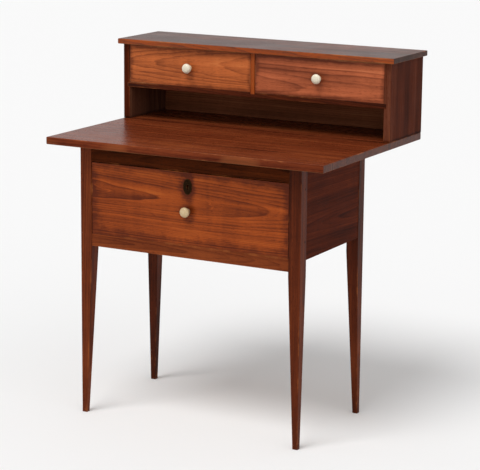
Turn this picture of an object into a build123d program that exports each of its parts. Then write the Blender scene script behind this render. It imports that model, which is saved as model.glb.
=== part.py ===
from build123d import *
import os

# A sewing desk built as a one-drawer table with a two-drawer gallery standing on its top.
# +X is the desk's right, the drawers open towards -Y, and +Z is up.
# The origin lies on the floor, under the middle of the box that the whole desk fills.

# ----------------------------------------------------------------------------------------
# Driving dimensions, in millimetres
# ----------------------------------------------------------------------------------------

# Table base
base_width = 634.0  # over the outer faces of the legs
base_depth = 361.0
desk_height = 730.0  # floor to work surface
leg_size = 33.0
foot_size = 14.0
leg_arris = 1.5
straight_below_rail = 12.0  # leg left untapered below the lower rail

# Desktop, glued up from two boards
desktop_thickness = 19.0
side_overhang = 78.0
front_overhang = 40.0
rear_overhang = 175.0
front_board_depth = 305.0
desktop_arris = 2.5

# Rails and aprons
rail_inset = 1.0  # reveal between the legs' faces and the rails and aprons
case_height = 261.0  # lower rail's underside to the desktop's underside
lower_rail_height = 32.0
upper_rail_height = 40.0
upper_rail_thickness = 22.0
apron_thickness = 18.0
side_apron_rise = 5.0  # lower edges of the side aprons above the back apron's

# Joints of the base
tenon_thickness = 7.0
tenon_shoulder = 12.0
tenon_split = 50.0  # gap between an apron's two tenons
tenon_end_gap = 1.0  # wood left between joints that meet in a leg
rail_tenon_length = 18.0
rail_tenon_shoulder = 6.0
dovetail_key_length = 18.0
dovetail_key_depth = 15.0
dovetail_key_neck = 10.0
dovetail_key_tip = 14.0
peg_radius = 3.0
peg_length = 18.0
peg_proud = 0.3
peg_setback = 9.0  # peg's centre behind the tenon's shoulder

# Drawer support
runner_thickness = 10.0
runner_reach = 22.0  # how far the runner stands inside the line of the legs
guide_height = 14.0
kicker_reach = 15.0
stub_tenon_length = 8.0
stub_tenon_width = 9.0
stub_tenon_shoulder = 2.5
stop_width = 40.0
stop_height = 5.0
stop_spacing = 300.0

# Gallery
gallery_height = 216.0  # work surface to the gallery's top face
gallery_depth = 200.0
gallery_side_thickness = 18.0
gallery_top_thickness = 14.0
gallery_top_overhang = 12.0
gallery_top_arris = 2.0
gallery_back_thickness = 10.0
gallery_rabbet = 9.0
open_shelf_height = 86.0
gallery_shelf_thickness = 12.0
gallery_divider_thickness = 12.0
shelf_housing = 6.0
divider_housing = 4.0
small_stop_height = 4.0

# Main drawer
drawer_rear_gap = 16.0  # behind the closed drawer
drawer_front_thickness = 20.0
drawer_side_thickness = 11.0
drawer_back_thickness = 11.0
drawer_bottom_thickness = 8.0
drawer_tails = 5
drawer_pin = 9.0
drawer_side_drop = 3.0  # sides stand this much below the front's top edge

# Gallery drawers
small_drawer_rear_gap = 11.0
small_front_thickness = 16.0
small_side_thickness = 8.0
small_back_thickness = 8.0
small_bottom_thickness = 6.0
small_tails = 3
small_pin = 6.0
small_side_drop = 2.0

# Common to the drawers
drawer_arris = 1.2
dovetail_slope = 0.16
blind_lap = 5.0  # wood left in front of a half-blind dovetail
groove_rise = 12.0
groove_depth = 5.0
tongue_thickness = 4.0
tongue_flat = 6.0
bevel_width = 22.0

# Running clearances
ride_gap = 0.3  # between a drawer and what it rides on
side_gap = 1.0
top_gap = 1.7
stop_gap = 0.3
bolt_gap = 0.25

# Knobs
knob_diameter = 26.0
knob_length = 23.0
knob_below_keyhole = 65.0
knob_spigot_radius = 4.5
small_knob_diameter = 26.0
small_knob_length = 22.0
small_knob_spigot_radius = 3.5
knob_foot_share = 0.60  # foot's and neck's radius as shares of the knob's
knob_neck_share = 0.42
knob_rim = 1.5

# Lock and keyhole
keyhole_drop = 34.0  # keyhole's centre below the drawer front's top edge
keyhole_radius = 3.2
keyhole_slot_width = 3.0
keyhole_slot_drop = 9.5
escutcheon_width = 25.0
escutcheon_height = 40.0
escutcheon_thickness = 1.2
escutcheon_pin_radius = 0.8
escutcheon_pin_length = 7.0
escutcheon_pin_head_radius = 1.5
escutcheon_pin_head_height = 0.7
escutcheon_pin_edge = 4.0
lock_plate_width = 64.0
lock_plate_height = 54.0
lock_plate_thickness = 1.6
lock_case_width = 46.0
lock_case_height = 48.0
lock_depth = 11.0
lock_wall = 1.2
selvedge_thickness = 2.0
drill_pin_radius = 1.2
bolt_width = 24.0
bolt_thickness = 4.0
bolt_height = 27.0
bolt_throw = 8.0
bolt_notch_width = 8.0
bolt_notch_height = 4.0
bolt_mortise_gap = 1.5

# Screws and nails
screw_radius = 2.4
screw_head_radius = 4.6
screw_head_depth = 3.0
screw_bite = 13.0  # how far a desktop screw reaches into the desktop
screw_counterbore_depth = 18.0
screw_counterbore_radius = 6.0
screws_per_kicker = 3
gallery_screw_bite = 28.0
screws_per_gallery_side = 3
lock_screw_radius = 1.3
lock_screw_head_radius = 2.6
lock_screw_head_depth = 1.4
lock_screw_length = 8.0
nail_shank = 1.8
nail_head = 3.6
nail_head_depth = 1.0
nail_length = 26.0
small_nail_length = 16.0
fastener_margin = 30.0  # end distance of the outermost screw or nail in a row

# ----------------------------------------------------------------------------------------
# Levels and faces that several pieces share
# ----------------------------------------------------------------------------------------

half_base = base_width / 2
half_desktop = half_base + side_overhang
front_reach = max(front_overhang, knob_length - rail_inset)
front_y = front_reach - (front_reach + base_depth + rear_overhang) / 2
rear_y = front_y + base_depth
middle_y = (front_y + rear_y) / 2
desktop_front_y = front_y - front_overhang
desktop_rear_y = rear_y + rear_overhang

desktop_underside = desk_height - desktop_thickness
upper_rail_bottom = desktop_underside - upper_rail_height
lower_rail_bottom = desktop_underside - case_height
lower_rail_top = lower_rail_bottom + lower_rail_height
apron_bottom = lower_rail_top - runner_thickness
taper_top = lower_rail_bottom - straight_below_rail

leg_inner_x = half_base - leg_size
apron_inner_x = half_base - rail_inset - apron_thickness
rail_face_y = front_y + rail_inset
upper_rail_back_y = rail_face_y + upper_rail_thickness
front_leg_back_y = front_y + leg_size
rear_leg_front_y = rear_y - leg_size
back_apron_front_y = rear_y - rail_inset - apron_thickness
apron_tenon_centre = rail_inset + apron_thickness / 2
tenon_length = leg_size - apron_tenon_centre - tenon_thickness / 2 - tenon_end_gap

gallery_front_y = desktop_rear_y - gallery_depth
gallery_back_y = desktop_rear_y - gallery_back_thickness
gallery_inner_x = half_desktop - gallery_side_thickness
gallery_top_z = desk_height + gallery_height
gallery_top_underside = gallery_top_z - gallery_top_thickness
shelf_underside = desk_height + open_shelf_height
shelf_top = shelf_underside + gallery_shelf_thickness

drawer_width = 2 * (leg_inner_x - side_gap)
drawer_length = back_apron_front_y - drawer_rear_gap - rail_face_y
drawer_bottom_z = lower_rail_top + ride_gap
drawer_height = upper_rail_bottom - top_gap - drawer_bottom_z
small_opening_width = gallery_inner_x - gallery_divider_thickness / 2
small_drawer_width = small_opening_width - 2 * side_gap
small_drawer_front_y = gallery_front_y + rail_inset
small_drawer_length = gallery_back_y - small_drawer_rear_gap - small_drawer_front_y
small_drawer_bottom_z = shelf_top + ride_gap
small_drawer_height = gallery_top_underside - top_gap - small_drawer_bottom_z
small_drawer_x = gallery_divider_thickness / 2 + small_opening_width / 2

FROM_START = (Align.CENTER, Align.CENTER, Align.MIN)


# ----------------------------------------------------------------------------------------
# Shapes used all over the desk
# ----------------------------------------------------------------------------------------


def block(x0, x1, y0, y1, z0, z1):
    """A squared board between two corners."""
    centre = ((x0 + x1) / 2, (y0 + y1) / 2, (z0 + z1) / 2)
    return Pos(*centre) * Box(x1 - x0, y1 - y0, z1 - z0)


def rod(start, direction, radius, length):
    """A round bar that begins at a point and runs along a direction."""
    return Plane(origin=start, z_dir=direction) * Cylinder(radius, length, align=FROM_START)


def prism_along_x(outline, x0, x1):
    """A (y, z) outline drawn out from x0 to x1."""
    face = make_face(Polyline(*outline, close=True))
    return extrude(Plane(origin=(x0, 0, 0), x_dir=(0, 1, 0), z_dir=(1, 0, 0)) * face, x1 - x0)


def prism_along_y(outline, y0, y1):
    """An (x, z) outline drawn out from y0 to y1."""
    face = make_face(Polyline(*outline, close=True))
    return extrude(Plane(origin=(0, y1, 0), x_dir=(1, 0, 0), z_dir=(0, -1, 0)) * face, y1 - y0)


def prism_along_z(outline, z0, z1):
    """An (x, y) outline drawn out from z0 to z1."""
    face = make_face(Polyline(*outline, close=True))
    return extrude(Plane.XY.offset(z0) * face, z1 - z0)


def to_right(piece):
    """The right-hand twin of a left-hand piece."""
    return mirror(piece, about=Plane.YZ)


def to_rear(piece):
    """The rear twin of a piece of the table's front."""
    return mirror(piece, about=Plane(origin=(0, middle_y, 0), x_dir=(1, 0, 0), z_dir=(0, 1, 0)))


def spread(low, high, count):
    """Evenly spaced places from low to high."""
    step = (high - low) / (count - 1)
    return [low + i * step for i in range(count)]


def screw(head_at, direction, length, radius, head_radius, head_depth):
    """A countersunk screw whose head's face lies at head_at."""
    head = Cone(head_radius, radius, head_depth, align=FROM_START)
    shank = Cylinder(radius, length, align=FROM_START)
    return Plane(origin=head_at, z_dir=direction) * (head + shank)


def nail(head_at, direction, length):
    """A square cut nail driven flush, its head's face at head_at."""
    head = Box(nail_head, nail_head / 2, nail_head_depth, align=FROM_START)
    shank = Box(nail_shank, nail_shank, length, align=FROM_START)
    return Plane(origin=head_at, z_dir=direction) * (head + shank)


# ----------------------------------------------------------------------------------------
# Table base
# ----------------------------------------------------------------------------------------


def leg_section(size, z):
    """Eased square section of the front left leg, its outer corner on the base's corner."""
    centre = (size / 2 - half_base, size / 2 + front_y, z)
    return Pos(*centre) * RectangleRounded(size, size, leg_arris)


def leg_blank():
    """Front left leg: plumb outer faces, inner faces tapered from below the rail to the floor."""
    foot = leg_section(foot_size, 0)
    shoulder = leg_section(leg_size, taper_top)
    return loft([foot, shoulder], ruled=True) + extrude(shoulder, desktop_underside - taper_top)


def tenon_heights():
    """Bottom and top of each of an apron's two tenons."""
    low = apron_bottom + tenon_shoulder
    high = desktop_underside - dovetail_key_depth - tenon_end_gap
    height = (high - low - tenon_split) / 2
    return [(low, low + height), (high - height, high)]


def side_apron():
    """Left apron, with two tenons into each leg."""
    x0 = -half_base + rail_inset
    x1 = x0 + apron_thickness
    z0 = apron_bottom + side_apron_rise
    apron = block(x0, x1, front_leg_back_y, rear_leg_front_y, z0, desktop_underside)
    tenon_x = -half_base + apron_tenon_centre - tenon_thickness / 2
    y0 = front_leg_back_y - tenon_length
    y1 = rear_leg_front_y + tenon_length
    for low, high in tenon_heights():
        apron += block(tenon_x, tenon_x + tenon_thickness, y0, y1, low, high)
    return apron


def back_apron():
    """Apron between the rear legs."""
    y1 = rear_y - rail_inset
    apron = block(-leg_inner_x, leg_inner_x, back_apron_front_y, y1, apron_bottom, desktop_underside)
    tenon_y = rear_y - apron_tenon_centre - tenon_thickness / 2
    reach = leg_inner_x + tenon_length
    for low, high in tenon_heights():
        apron += block(-reach, reach, tenon_y, tenon_y + tenon_thickness, low, high)
    return apron


def lower_rail():
    """Rail below the drawer, with twin tenons at each end."""
    x1 = leg_inner_x
    rail = block(-x1, x1, rail_face_y, front_leg_back_y, lower_rail_bottom, lower_rail_top)
    reach = x1 + rail_tenon_length
    low = lower_rail_bottom + rail_tenon_shoulder
    high = lower_rail_top - rail_tenon_shoulder
    quarter = (front_leg_back_y - rail_face_y) / 4
    for centre in (rail_face_y + quarter, front_leg_back_y - quarter):
        rail += block(-reach, reach, centre - tenon_thickness / 2, centre + tenon_thickness / 2, low, high)
    return rail


def upper_rail():
    """Rail above the drawer, dovetailed down into the tops of the legs."""
    x1 = leg_inner_x
    rail = block(-x1, x1, rail_face_y, upper_rail_back_y, upper_rail_bottom, desktop_underside)
    centre = (rail_face_y + upper_rail_back_y) / 2
    reach = leg_inner_x + dovetail_key_length
    key_bottom = desktop_underside - dovetail_key_depth
    outline = [
        (leg_inner_x, centre - dovetail_key_neck / 2),
        (reach, centre - dovetail_key_tip / 2),
        (reach, centre + dovetail_key_tip / 2),
        (leg_inner_x, centre + dovetail_key_neck / 2),
    ]
    key = prism_along_z(outline, key_bottom, desktop_underside)
    return rail + key + to_right(key)


def drawer_strip(inner_x, y0, y1, z0, z1):
    """Left strip from the apron to inner_x, with a stub tenon at both ends of its inner side."""
    strip = block(-apron_inner_x, inner_x, y0, y1, z0, z1)
    x1 = inner_x - stub_tenon_shoulder
    x0 = x1 - stub_tenon_width
    low = z0 + stub_tenon_shoulder
    high = z1 - stub_tenon_shoulder
    return strip + block(x0, x1, y0 - stub_tenon_length, y1 + stub_tenon_length, low, high)


def runner(legs):
    """Left drawer runner, tenoned into the lower rail and the back apron."""
    inner_x = runner_reach - leg_inner_x
    strip = drawer_strip(inner_x, front_leg_back_y, back_apron_front_y, apron_bottom, lower_rail_top)
    return strip - legs


def kicker(legs):
    """Left kicker: keeps the open drawer from tipping and carries the screws of the desktop."""
    inner_x = kicker_reach - leg_inner_x
    y0 = upper_rail_back_y
    strip = drawer_strip(inner_x, y0, back_apron_front_y, upper_rail_bottom, desktop_underside)
    return strip - legs


def guide():
    """Left drawer guide: fills the space between the apron and the line of the legs."""
    z1 = lower_rail_top + guide_height
    return block(-apron_inner_x, -leg_inner_x, front_leg_back_y, rear_leg_front_y, lower_rail_top, z1)


def drawer_stops():
    """Two blocks on the lower rail that meet the back of the drawer's front."""
    y0 = rail_face_y + drawer_front_thickness + stop_gap
    z1 = lower_rail_top + stop_height
    x0 = (stop_spacing - stop_width) / 2
    stop = block(x0, x0 + stop_width, y0, front_leg_back_y, lower_rail_top, z1)
    return [stop, to_right(stop)]


def peg_heights():
    """Height of the peg in each apron tenon."""
    return [(low + high) / 2 for low, high in tenon_heights()]


def joint_pegs():
    """Wooden pegs through the apron tenons."""
    pegs = []
    length = peg_length + peg_proud
    side_x = -half_base - peg_proud
    back_x = -leg_inner_x - peg_setback
    for z in peg_heights():
        front_side = rod((side_x, front_leg_back_y - peg_setback, z), (1, 0, 0), peg_radius, length)
        rear_side = rod((side_x, rear_leg_front_y + peg_setback, z), (1, 0, 0), peg_radius, length)
        back = rod((back_x, rear_y + peg_proud, z), (0, -1, 0), peg_radius, length)
        pegs += [front_side, rear_side, back]
    return pegs + [to_right(peg) for peg in pegs]


# ----------------------------------------------------------------------------------------
# Desktop and gallery
# ----------------------------------------------------------------------------------------


def desktop():
    """The whole desktop, before it is parted at its glue line."""
    board = block(
        -half_desktop, half_desktop, desktop_front_y, desktop_rear_y, desktop_underside, desk_height
    )
    return fillet(board.edges(), desktop_arris)


def desktop_boards():
    """Front and rear board of the desktop, edge to edge."""
    whole = desktop()
    x1 = half_desktop
    joint_y = desktop_front_y + front_board_depth
    front_part = block(-x1, x1, desktop_front_y, joint_y, desktop_underside, desk_height)
    rear_part = block(-x1, x1, joint_y, desktop_rear_y, desktop_underside, desk_height)
    return whole & front_part, whole & rear_part


def desktop_screw_places():
    """Places of the left kicker's screws, on its underside."""
    x = (kicker_reach - leg_inner_x - apron_inner_x) / 2
    low = front_leg_back_y + fastener_margin
    high = rear_leg_front_y - fastener_margin
    return [(x, y) for y in spread(low, high, screws_per_kicker)]


def desktop_screws():
    """Screws up through the kickers into the desktop."""
    screws = []
    head_z = upper_rail_bottom + screw_counterbore_depth
    length = desktop_underside + screw_bite - head_z
    for x, y in desktop_screw_places():
        one = screw((x, y, head_z), (0, 0, 1), length, screw_radius, screw_head_radius, screw_head_depth)
        screws.append(one)
    return screws + [to_right(one) for one in screws]


def counterbores():
    """Holes below the heads of the desktop screws."""
    up = (0, 0, 1)
    return [
        rod((x, y, upper_rail_bottom), up, screw_counterbore_radius, screw_counterbore_depth)
        for x, y in desktop_screw_places()
    ]


def gallery_side():
    """Left side of the gallery."""
    return block(
        -half_desktop, -gallery_inner_x, gallery_front_y, desktop_rear_y, desk_height, gallery_top_underside
    )


def gallery_back():
    """Back board, let into rabbets in the sides."""
    reach = gallery_inner_x + gallery_rabbet
    return block(-reach, reach, gallery_back_y, desktop_rear_y, desk_height, gallery_top_underside)


def gallery_top():
    """Top board, overhanging the sides and the front."""
    reach = half_desktop + gallery_top_overhang
    board = block(
        -reach,
        reach,
        gallery_front_y - gallery_top_overhang,
        desktop_rear_y,
        gallery_top_underside,
        gallery_top_z,
    )
    return fillet(board.edges(), gallery_top_arris)


def gallery_shelf():
    """Shelf that bears the drawers, housed in the sides."""
    reach = gallery_inner_x + shelf_housing
    return block(-reach, reach, gallery_front_y, gallery_back_y, shelf_underside, shelf_top)


def gallery_divider():
    """Upright between the drawers, housed in the shelf and the top."""
    half = gallery_divider_thickness / 2
    low = shelf_top - divider_housing
    high = gallery_top_underside + divider_housing
    return block(-half, half, gallery_front_y, gallery_back_y, low, high)


def gallery_stops():
    """Blocks on the shelf that meet the backs of the small drawers' fronts."""
    y0 = small_drawer_front_y + small_front_thickness + stop_gap
    y1 = y0 + stop_width / 2
    z1 = shelf_top + small_stop_height
    half = small_opening_width / 4
    stops = []
    for x in (small_drawer_x - half, small_drawer_x + half):
        stops.append(block(x - stop_width / 2, x + stop_width / 2, y0, y1, shelf_top, z1))
    return stops + [to_right(stop) for stop in stops]


def gallery_nails():
    """Nails down through the top, and through the back into the sides and the shelf."""
    nails = []
    side_x = -(half_desktop + gallery_inner_x) / 2
    low = gallery_front_y + fastener_margin
    high = gallery_back_y - fastener_margin
    for y in spread(low, high, 3):
        nails.append(nail((side_x, y, gallery_top_z), (0, 0, -1), gallery_top_thickness + nail_length))
    back_x = -gallery_inner_x - gallery_rabbet / 2
    for z in spread(desk_height + fastener_margin, gallery_top_underside - fastener_margin, 3):
        nails.append(nail((back_x, desktop_rear_y, z), (0, -1, 0), nail_length))
    nails += [to_right(one) for one in nails]
    shelf_z = (shelf_underside + shelf_top) / 2
    for x in spread(-gallery_inner_x / 2, gallery_inner_x / 2, 3):
        nails.append(nail((x, desktop_rear_y, shelf_z), (0, -1, 0), nail_length))
    return nails


def gallery_screws():
    """Screws up through the desktop into the gallery's sides."""
    screws = []
    x = -(half_desktop + gallery_inner_x) / 2
    low = gallery_front_y + fastener_margin
    high = gallery_back_y - fastener_margin
    for y in spread(low, high, screws_per_gallery_side):
        start = (x, y, desktop_underside)
        length = desktop_thickness + gallery_screw_bite
        one = screw(start, (0, 0, 1), length, screw_radius, screw_head_radius, screw_head_depth)
        screws.append(one)
    return screws + [to_right(one) for one in screws]


# ----------------------------------------------------------------------------------------
# Drawers, each modelled with its front's face on y = 0 and its lower edge on z = 0
# ----------------------------------------------------------------------------------------


def tails(x0, x1, tip_y, shoulder_y, z0, z1, count, pin):
    """Dovetails of a drawer side, widest at their tips."""
    height = (z1 - z0 - (count + 1) * pin) / count
    flare = abs(tip_y - shoulder_y) * dovetail_slope
    shapes = []
    for i in range(count):
        low = z0 + pin + i * (height + pin)
        high = low + height
        outline = [
            (tip_y, low),
            (tip_y, high),
            (shoulder_y, high - flare),
            (shoulder_y, low + flare),
        ]
        shapes.append(prism_along_x(outline, x0, x1))
    return shapes


def feather(piece, width, y0, y1, z0, rise):
    """Bevel the underside of a drawer bottom along its sides and front."""
    inner = tongue_flat + bevel_width
    side_profile = [
        (-width / 2, z0),
        (-width / 2, z0 + rise),
        (-width / 2 + tongue_flat, z0 + rise),
        (-width / 2 + inner, z0),
    ]
    front_profile = [(y0, z0), (y0, z0 + rise), (y0 + tongue_flat, z0 + rise), (y0 + inner, z0)]
    side_cut = prism_along_y(side_profile, y0, y1)
    front_cut = prism_along_x(front_profile, -width / 2, width / 2)
    return piece - side_cut - to_right(side_cut) - front_cut


def drawer_bottom_panel(width, length, front, side, thickness):
    """Bottom board, let into the front and sides and passing under the back."""
    panel_width = width - 2 * (side - groove_depth)
    y0 = front - groove_depth
    z1 = groove_rise + tongue_thickness
    z0 = z1 - thickness
    panel = block(-panel_width / 2, panel_width / 2, y0, length, z0, z1)
    return feather(panel, panel_width, y0, length, z0, thickness - tongue_thickness)


def drawer_box(width, height, length, front, side, back, bottom, count, pin, drop):
    """The five boards of a dovetailed drawer: front, left side, right side, back and bottom."""
    x0 = -width / 2
    x1 = x0 + side
    side_top = height - drop
    under_back = groove_rise + tongue_thickness
    back_y = length - back
    left = block(x0, x1, front, back_y, 0, side_top)
    left += block(x0, x1, back_y, length, 0, under_back)
    left += tails(x0, x1, blind_lap, front, 0, side_top, count, pin)
    left += tails(x0, x1, length, back_y, under_back, side_top, count, pin)
    panel = drawer_bottom_panel(width, length, front, side, bottom)
    left -= panel
    right = to_right(left)
    front_board = block(x0, -x0, 0, front, 0, height)
    front_board = fillet(front_board.faces().sort_by(Axis.Y)[0].edges(), drawer_arris)
    front_board = front_board - left - right - panel
    back_board = block(x0, -x0, back_y, length, under_back, side_top) - left - right
    return front_board, left, right, back_board, panel


def bottom_nails(width, length, side, back, thickness, count):
    """Nails up through the drawer's bottom into its back."""
    z = groove_rise + tongue_thickness - thickness
    reach = width / 2 - side - fastener_margin
    y = length - back / 2
    nail_run = thickness + small_nail_length
    return [nail((x, y, z), (0, 0, 1), nail_run) for x in spread(-reach, reach, count)]


def knob(diameter, length, spigot_radius, spigot_length):
    """Turned knob seated on y = 0, with a spigot into the drawer's front."""
    radius = diameter / 2
    foot = radius * knob_foot_share
    neck = radius * knob_neck_share
    seat = Polyline(
        (0, spigot_length),
        (spigot_radius, spigot_length),
        (spigot_radius, 0),
        (foot, 0),
        (foot, -knob_rim),
    )
    widest = (radius, -0.68 * length)
    waist = Spline((foot, -knob_rim), (neck, -0.30 * length), widest, tangents=[(-1, -0.4), (0.15, -1)])
    crown = Spline(widest, (0, -length), tangents=[(-0.15, -1), (-1, 0)])
    axis_line = Line((0, -length), (0, spigot_length))
    face = make_face(Curve() + [seat, waist, crown, axis_line])
    return revolve(face, axis=Axis.Y)


# ----------------------------------------------------------------------------------------
# Lock and escutcheon, placed from the top edge of the main drawer's front
# ----------------------------------------------------------------------------------------


def keyhole(y0, y1):
    """Keyhole: a round hole with a slot below it."""
    z = drawer_height - keyhole_drop
    round_part = rod((0, y0, z), (0, 1, 0), keyhole_radius, y1 - y0)
    half = keyhole_slot_width / 2
    return round_part + block(-half, half, y0, y1, z - keyhole_slot_drop, z)


def escutcheon():
    """Oval plate around the keyhole."""
    z = drawer_height - keyhole_drop - keyhole_slot_drop / 4
    oval = Ellipse(escutcheon_width / 2, escutcheon_height / 2)
    place = Plane(origin=(0, 0, z), x_dir=(1, 0, 0), z_dir=(0, -1, 0))
    plate = extrude(place * oval, escutcheon_thickness)
    return plate - keyhole(-escutcheon_thickness, 0)


def escutcheon_pins():
    """Round-headed pins at the top and bottom of the escutcheon."""
    centre = drawer_height - keyhole_drop - keyhole_slot_drop / 4
    reach = escutcheon_height / 2 - escutcheon_pin_edge
    pins = []
    for z in (centre - reach, centre + reach):
        start = (0, -escutcheon_thickness - escutcheon_pin_head_height, z)
        head = rod(start, (0, 1, 0), escutcheon_pin_head_radius, escutcheon_pin_head_height)
        shank = rod(start, (0, 1, 0), escutcheon_pin_radius, escutcheon_pin_length)
        pins.append(head + shank)
    return pins


def lock_pocket():
    """Everything that the lock fills in the drawer's front."""
    top = drawer_height
    inner = drawer_front_thickness
    half_plate = lock_plate_width / 2
    half_case = lock_case_width / 2
    selvedge = block(-half_plate, half_plate, inner - lock_depth, inner, top - selvedge_thickness, top)
    plate_y = inner - lock_plate_thickness
    plate = block(-half_plate, half_plate, plate_y, inner, top - lock_plate_height, top)
    case = block(-half_case, half_case, inner - lock_depth, inner, top - lock_case_height, top)
    return selvedge + plate + case


def bolt_section(gap, z0, z1):
    """The bolt's outline with a gap around it, between two heights."""
    middle = drawer_front_thickness - lock_plate_thickness - bolt_gap - bolt_thickness / 2
    half_width = bolt_width / 2 + gap
    half_thickness = bolt_thickness / 2 + gap
    return block(-half_width, half_width, middle - half_thickness, middle + half_thickness, z0, z1)


def lock_case():
    """Lock case, back plate and selvedge in one, with the pin that the key turns on."""
    top = drawer_height
    inner = drawer_front_thickness - lock_plate_thickness
    outer = drawer_front_thickness - lock_depth
    half_case = lock_case_width / 2 - lock_wall
    floor_z = top - lock_case_height + lock_wall
    hollow = block(-half_case, half_case, outer + lock_wall, inner, floor_z, top - selvedge_thickness)
    slot = bolt_section(bolt_gap, top - selvedge_thickness, top)
    keyhole_z = top - keyhole_drop
    pin_length = inner - outer - lock_wall
    drill_pin = rod((0, outer + lock_wall, keyhole_z), (0, 1, 0), drill_pin_radius, pin_length)
    return lock_pocket() - hollow - slot - keyhole(outer, outer + lock_wall) + drill_pin


def lock_bolt():
    """Bolt in its drawn-back place, its top flush with the selvedge."""
    top = drawer_height
    low = top - bolt_height
    bolt = bolt_section(0, low, top)
    half = bolt_notch_width / 2
    return bolt - block(-half, half, 0, drawer_front_thickness, low, low + bolt_notch_height)


def lock_screws():
    """Screws through the corners of the lock's back plate."""
    x = (lock_plate_width + lock_case_width) / 4
    inset = (lock_plate_width - lock_case_width) / 4
    low = drawer_height - lock_plate_height + inset
    high = drawer_height - selvedge_thickness - inset - lock_screw_head_radius
    screws = []
    for z in (low, high):
        for side_x in (-x, x):
            start = (side_x, drawer_front_thickness, z)
            one = screw(
                start,
                (0, -1, 0),
                lock_screw_length,
                lock_screw_radius,
                lock_screw_head_radius,
                lock_screw_head_depth,
            )
            screws.append(one)
    return screws


def bolt_mortise():
    """Mortise in the upper rail that takes the thrown bolt."""
    reach = upper_rail_bottom + bolt_throw
    return bolt_section(bolt_mortise_gap, upper_rail_bottom, reach)


# ----------------------------------------------------------------------------------------
# Assembly
# ----------------------------------------------------------------------------------------


def table_nodes():
    """The pieces of the table base, with their joints cut."""
    blank_left = leg_blank()
    blanks = [blank_left, to_right(blank_left), to_rear(blank_left), to_right(to_rear(blank_left))]
    left_apron = side_apron()
    aprons = [left_apron, to_right(left_apron), back_apron()]
    bottom_rail = lower_rail()
    top_rail = upper_rail()
    rails = [bottom_rail, top_rail]
    runner_left = runner(blanks)
    kicker_left = kicker(blanks)
    screws = desktop_screws()
    kicker_left = kicker_left - counterbores() - screws
    strips = [runner_left, to_right(runner_left), kicker_left, to_right(kicker_left)]
    pegs = joint_pegs()
    legs = [blank - aprons - rails - pegs for blank in blanks]
    mortise = Pos(0, rail_face_y, 0) * bolt_mortise()
    return {
        "leg_front_left": legs[0],
        "leg_front_right": legs[1],
        "leg_rear_left": legs[2],
        "leg_rear_right": legs[3],
        "apron_left": aprons[0] - pegs,
        "apron_right": aprons[1] - pegs,
        "apron_back": aprons[2] - pegs - strips,
        "lower_rail": bottom_rail - strips,
        "upper_rail": top_rail - strips - mortise,
        "runner_left": strips[0],
        "runner_right": strips[1],
        "kicker_left": strips[2],
        "kicker_right": strips[3],
        "guide_left": guide(),
        "guide_right": to_right(guide()),
        "drawer_stops": drawer_stops(),
        "joint_pegs": pegs,
        "desktop_screws": screws,
    }


def gallery_nodes():
    """The desktop and the gallery that stands on it."""
    front_board, rear_board = desktop_boards()
    back = gallery_back()
    shelf = gallery_shelf()
    divider = gallery_divider()
    nails = gallery_nails()
    screws = gallery_screws()
    side = gallery_side() - back - shelf
    other_side = to_right(gallery_side()) - back - shelf
    table_screws = desktop_screws()
    return {
        "desktop_front": front_board - table_screws,
        "desktop_rear": rear_board - table_screws - screws,
        "gallery_side_left": side - nails - screws,
        "gallery_side_right": other_side - nails - screws,
        "gallery_back": back - nails,
        "gallery_top": gallery_top() - divider - nails,
        "gallery_shelf": shelf - divider - nails,
        "gallery_divider": divider,
        "gallery_stops": gallery_stops(),
        "gallery_nails": nails,
        "gallery_screws": screws,
    }


def main_drawer_nodes():
    """The table's drawer, with its knob, lock and escutcheon."""
    front, left, right, back, bottom = drawer_box(
        drawer_width,
        drawer_height,
        drawer_length,
        drawer_front_thickness,
        drawer_side_thickness,
        drawer_back_thickness,
        drawer_bottom_thickness,
        drawer_tails,
        drawer_pin,
        drawer_side_drop,
    )
    pull = Pos(0, 0, drawer_height - keyhole_drop - knob_below_keyhole) * knob(
        knob_diameter, knob_length, knob_spigot_radius, drawer_front_thickness - blind_lap
    )
    nails = bottom_nails(
        drawer_width,
        drawer_length,
        drawer_side_thickness,
        drawer_back_thickness,
        drawer_bottom_thickness,
        4,
    )
    pins = escutcheon_pins()
    screws = lock_screws()
    front = front - pull - lock_pocket() - keyhole(0, drawer_front_thickness - lock_depth) - pins - screws
    local = {
        "drawer_front": front,
        "drawer_side_left": left,
        "drawer_side_right": right,
        "drawer_back": back - nails,
        "drawer_bottom": bottom - nails,
        "drawer_nails": nails,
        "drawer_knob": pull,
        "escutcheon": escutcheon() - pins,
        "escutcheon_pins": pins,
        "lock_case": lock_case() - screws,
        "lock_screws": screws,
        "lock_bolt": lock_bolt(),
    }
    place = Pos(0, rail_face_y, drawer_bottom_z)
    return placed(local, place)


def small_drawer_nodes(prefix, x):
    """One of the gallery's drawers, centred on x."""
    front, left, right, back, bottom = drawer_box(
        small_drawer_width,
        small_drawer_height,
        small_drawer_length,
        small_front_thickness,
        small_side_thickness,
        small_back_thickness,
        small_bottom_thickness,
        small_tails,
        small_pin,
        small_side_drop,
    )
    pull = Pos(0, 0, small_drawer_height / 2) * knob(
        small_knob_diameter, small_knob_length, small_knob_spigot_radius, small_front_thickness - blind_lap
    )
    nails = bottom_nails(
        small_drawer_width,
        small_drawer_length,
        small_side_thickness,
        small_back_thickness,
        small_bottom_thickness,
        3,
    )
    local = {
        prefix + "_front": front - pull,
        prefix + "_side_left": left,
        prefix + "_side_right": right,
        prefix + "_back": back - nails,
        prefix + "_bottom": bottom - nails,
        prefix + "_nails": nails,
        prefix + "_knob": pull,
    }
    place = Pos(x, small_drawer_front_y, small_drawer_bottom_z)
    return placed(local, place)


def placed(pieces, place):
    """Named pieces, or lists of pieces, moved to a place."""
    moved = {}
    for name, piece in pieces.items():
        if isinstance(piece, list):
            moved[name] = [place * one for one in piece]
        else:
            moved[name] = place * piece
    return moved


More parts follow.
